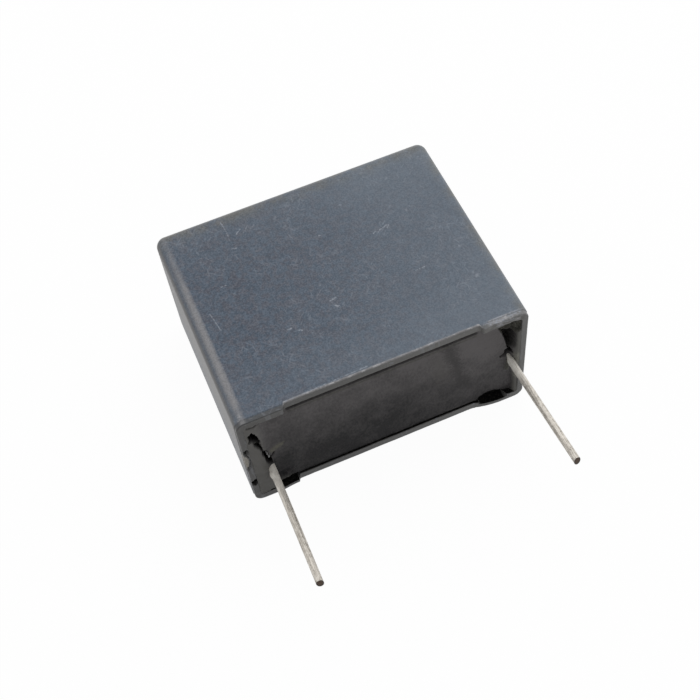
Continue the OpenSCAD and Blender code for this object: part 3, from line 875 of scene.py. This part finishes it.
def wire_piece(name, mount, side, free, sides=48):
    """Sweeps one lead from its flattened end to its cropped tip."""
    foot = Vector(mount["pos_m"]) * 1000
    lean = Vector(mount["axis"]).normalized()
    lean_angle = math.atan2(lean.x, -lean.y)
    across = Vector((math.cos(lean_angle), math.sin(lean_angle), 0))
    reach = free / math.cos(lean_angle)
    made = []
    flat_x = foot.x - side * (wire_r + 0.02) + side * flat_thick / 2
    inner_end = flat_depth + flat_len
    places = ([("flat", inner_end - d) for d in (0, 0.05, 0.15, 1.5, 4.0, 6.5, 7.6)]
              + [("turn", t / 8) for t in range(9)]
              + [("buried", d) for d in (6.0, 4.5, 3.0, 2.0, 1.2, 0.7, 0.45)]
              + [("free", s) for s in (*np.linspace(-0.02, 0.5, 5),
                                       *np.linspace(0.7, reach, 90))])
    for kind, at in places:
        ring = []
        for k in range(sides):
            a = 2 * math.pi * k / sides
            ca, sa = math.cos(a), math.sin(a)
            scale = (abs(ca) ** squareness + abs(sa) ** squareness) ** (-1 / squareness)
            fx, fz = ca * scale * flat_thick / 2, sa * scale * flat_width / 2
            if kind == "flat":
                soft = 0.9 if at > inner_end - 0.01 else 1.0
                point = Vector((flat_x + fx * soft, seat + at, foot.z + fz * soft))
            elif kind == "turn":
                t = at * at * (3 - 2 * at)
                point = Vector((flat_x + (foot.x - flat_x) * t + fx + (buried_r * ca - fx) * t,
                                seat + flat_depth + 0.8 - 0.8 * at + 0.05,
                                foot.z + fz + (buried_r * sa - fz) * t))
            elif kind == "buried":
                point = Vector((foot.x + buried_r * ca, seat + at, foot.z + buried_r * sa))
            else:
                r = wire_r * (0.985 + 0.012 * noise.noise(Vector((at * 0.9, side * 7, ca)))
                              + 0.008 * noise.noise(Vector((at * 3.1, side * 3, sa * 2))))
                r = min(r, wire_r)
                if side < 0:
                    r += 0.15 * max(0.0, -ca) * float(bell(at, 0.5, 0.35))
                tip = reach - math.tan(crop_slant) * r * (1 + 0.35 * side * ca + 0.93 * sa)
                cropped_by = (reach - tip) * (at - reach + crop_len) / crop_len
                run = at if at < reach - crop_len else at - cropped_by
                point = foot + lean * run + across * (r * ca) + Vector((0, 0, r * sa))
            ring.append(point)
        made.append(ring)
    last = made[-1]
    centre = sum(last, Vector()) / sides
    for inward, back in ((0.93, -0.02), (0.6, -0.03), (0.25, -0.01)):
        made.append([centre + (p - centre) * inward + lean * back for p in last])
    verts = [tuple(p) for ring in made for p in ring]
    n = len(made)
    faces = ring_faces(n, sides)
    faces += [tuple(range(sides)), tuple(range((n - 1) * sides, n * sides))]
    cropped = [0.0] * (sides * (n - 4)) + [0.7] * sides + [1.0] * (3 * sides)
    core = [0.0] * (sides * (n - 2)) + [1.0] * (2 * sides)
    return close_mesh(name, verts, faces, {"cropped": cropped, "core": core}, sharp=45)


# Streaks of a drawn wire: fine lines along its length, with duller tin between them
drawn_streaks, ins, outs = effect(
    "drawn_streaks", [("Place", "Vector", (0, 0, 0)), ("Width", "Float", 0.08)],
    [("Tone", "Float"), ("Height", "Float")])
g = drawn_streaks
across = maths(g, "DIVIDE", 1.0, ins["Width"])
squeeze = put(g, "CombineXYZ", {0: across, 1: 0.35, 2: across})
streak = grainy(g, vectors(g, "MULTIPLY", ins["Place"], squeeze), 1.0, 3.0, 0.6)
patch = grainy(g, ins["Place"], 2.2, 4.0, 0.6)
both = plus(g, times(g, streak, 0.6), times(g, patch, 0.4))
g.links.new(spread(g, both, 0.36, 0.62), outs["Tone"])
g.links.new(both, outs["Height"])

tinned, tree, shader, place = finish_of("tinned_wire", {"IOR": 1.5})
tone = place_effect(tree, drawn_streaks, "Tone", Place=place, Width=0.09)
colour = tint(tree, tone, (0.45, 0.415, 0.365), (0.80, 0.755, 0.685))
specked = specks(tree, vectors(tree, "MULTIPLY", place, (1.0, 0.4, 0.7)), 0.2, 2.0, 0.6)
colour = tint(tree, spread(tree, specked, 0.56, 0.76, 0.0, 0.7), colour, (0.20, 0.175, 0.15))
# Painted light: the first stretch of each lead outside the case is washed near white and made
# less metallic, standing in for the light that falls on it there.
exit_light = spread(tree, put(tree, "SeparateXYZ", {0: place}, out=1), seat - 4.5, seat - 0.5)
colour = wash(tree, colour, exit_light, 0.92,
              tint(tree, tone, (0.74, 0.70, 0.63), (1.0, 0.97, 0.90)))
tree.links.new(spread(tree, exit_light, 0.0, 1.0, 0.6, 0.0), shader.inputs["Metallic"])
cropped = layer_of(tree, "cropped")
core = layer_of(tree, "core")
face = tint(tree, core, (0.045, 0.042, 0.04), (0.075, 0.05, 0.035))
colour = tint(tree, cropped, colour, face)
lines = place_effect(tree, drawn_streaks, "Height", Place=place, Width=0.09)
feed(tree, shader, colour, spread(tree, tone, 0.0, 1.0, 0.55, 0.42), lines,
     strength=0.3, reach=0.00003)
for name, side, free in (("left", -1, 13.65), ("right", 1, 13.2)):
    wire = wire_piece("tinned_lead_" + name, mounts["lead_" + name], side, free)
    wire.data.materials.append(tinned)
    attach(wire, "root")
    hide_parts("lead_" + name)


# --- Winding ----------------------------------------------------------------
# The element is a long strip of metallised film, wound on a mandrel, pressed flat and
# closed with plain turns. Its silvery film shows fine lines where the turns overlap.
def cover(name, material):
    """Gives a plain node its finish."""
    finishes = frame["nodes"][name].data.materials
    finishes.clear()
    finishes.append(material)


film, tree, shader, place = finish_of("metallised_film", {"Metallic": 0.35, "IOR": 1.6})
turns = put(tree, "TexWave", {"Vector": place, "Scale": 3.0, "Distortion": 1.5, "Detail": 2.0},
            out="Fac", bands_direction="Z")
colour = tint(tree, turns, (0.46, 0.43, 0.37), (0.60, 0.57, 0.50))
colour = tint(tree, spread(tree, specks(tree, place, 3.0), 0.4, 0.7, 0.0, 0.3), colour,
              (0.38, 0.35, 0.30))
feed(tree, shader, colour, spread(tree, turns, 0.0, 1.0, 0.22, 0.34), turns, reach=0.00003)
cover("winding", film)


# --- End sprays -------------------------------------------------------------
# Molten zinc is sprayed on both ends of the roll to join its turns. It freezes as a
# rough grey crust of tiny flattened drops.
crust, tree, shader, place = finish_of("sprayed_zinc", {"Metallic": 0.8})
drops = put(tree, "TexVoronoi", {"Vector": place, "Scale": 5.0}, out="Distance")
grit = specks(tree, place, 0.12, 4.0, 0.7)
colour = tint(tree, grit, (0.30, 0.31, 0.33), (0.62, 0.63, 0.65))
height = plus(tree, drops, grit)
feed(tree, shader, colour, spread(tree, drops, 0.0, 0.8, 0.62, 0.8), height,
     strength=0.6, reach=0.0001)
cover("end_spray_left", crust)
cover("end_spray_right", crust)


# --- Solder joints ----------------------------------------------------------
# A low dome of soft solder holds the flat of each lead on the zinc. It sets bright,
# with a faint ripple and a duller skin of flux.
bright, tree, shader, place = finish_of("soft_solder", {"Metallic": 1.0})
ripple = specks(tree, place, 0.9, 2.0)
colour = tint(tree, ripple, (0.50, 0.50, 0.51), (0.74, 0.74, 0.75))
colour = tint(tree, spread(tree, specks(tree, place, 0.4), 0.6, 0.8, 0.0, 0.5), colour,
              (0.34, 0.31, 0.26))
feed(tree, shader, colour, spread(tree, ripple, 0.3, 0.7, 0.2, 0.4), ripple, reach=0.00005)
cover("solder_joint_left", bright)
cover("solder_joint_right", bright)


# --- Floor ------------------------------------------------------------------
# A plain white sheet that the part lies on. It is bright enough to read as white, and
# still keeps a soft trace of the part's shadow.
def seen_straight(tree):
    """1 for what is seen straight or in a mirror, 0 for the light that falls on the part."""
    path = tree.nodes.new("ShaderNodeLightPath").outputs
    return maths(tree, "MAXIMUM", path["Is Camera Ray"],
                 maths(tree, "MAXIMUM", path["Is Glossy Ray"], path["Is Transmission Ray"]))


sheet = bpy.data.meshes.new("floor")
half_sheet, sheet_z = 3.0, -0.00002
sheet.from_pydata([(x * half_sheet, y * half_sheet, sheet_z)
                   for x, y in ((-1, -1), (1, -1), (1, 1), (-1, 1))], [], [(0, 1, 2, 3)])
floor = add_object("floor", sheet)
white = bpy.data.materials.new("white_sheet")
white.use_nodes = True
tree = white.node_tree
tree.nodes.clear()
seen = seen_straight(tree)
shade = put(tree, "MapRange", {0: seen, 1: 0.0, 2: 1.0, 3: 0.5, 4: 0.95})
paper = put(tree, "BsdfDiffuse", {"Color": shade})
glow = put(tree, "Emission", {"Color": (1, 1, 1, 1), "Strength": 1.0})
mixed = put(tree, "MixShader", {0: times(tree, seen, 0.965), 1: paper, 2: glow})
tree.links.new(mixed, tree.nodes.new("ShaderNodeOutputMaterial").inputs["Surface"])
sheet.materials.append(white)


# --- Lamps and world --------------------------------------------------------
# A white tent gives even light from all round. One broad soft lamp overhead adds a
# little shape, and no gloss mirrors it.
world = bpy.data.worlds.new("white_tent")
bpy.context.scene.world = world
world.use_nodes = True
tree = world.node_tree
tree.nodes.clear()
seen = seen_straight(tree)
strength = put(tree, "MapRange", {0: seen, 1: 0.0, 2: 1.0, 3: 0.5, 4: 1.0})
tent = put(tree, "Background", {"Color": (1, 1, 1, 1), "Strength": strength})
tree.links.new(tent, tree.nodes.new("ShaderNodeOutputWorld").inputs["Surface"])

lamp = bpy.data.lights.new("overhead", "AREA")
lamp.shape, lamp.size, lamp.energy = "SQUARE", 0.4, 1.3
overhead = add_object("overhead", lamp)
overhead.location = (0.2, 0.2, 0.4)
aim = Vector((0, 0, 0.01)) - overhead.location
overhead.rotation_euler = aim.to_track_quat("-Z", "Y").to_euler()
overhead.visible_glossy = False


# --- Camera -----------------------------------------------------------------
# It looks down on the upper broad wall and the lead side, a little from the left and
# from about thirteen centimetres away.
lens = bpy.data.cameras.new("camera")
lens.lens, lens.sensor_width = 62.834, 36.0
lens.clip_start, lens.clip_end = 0.005, 20.0
camera = add_object("camera", lens)
camera.location = (-0.021138, -0.072823, 0.116414)
camera.rotation_euler = tuple(math.radians(a) for a in (33.1115, 4.1015, -22.8324))
bpy.context.scene.camera = camera
bpy.context.scene.view_settings.view_transform = "Standard"
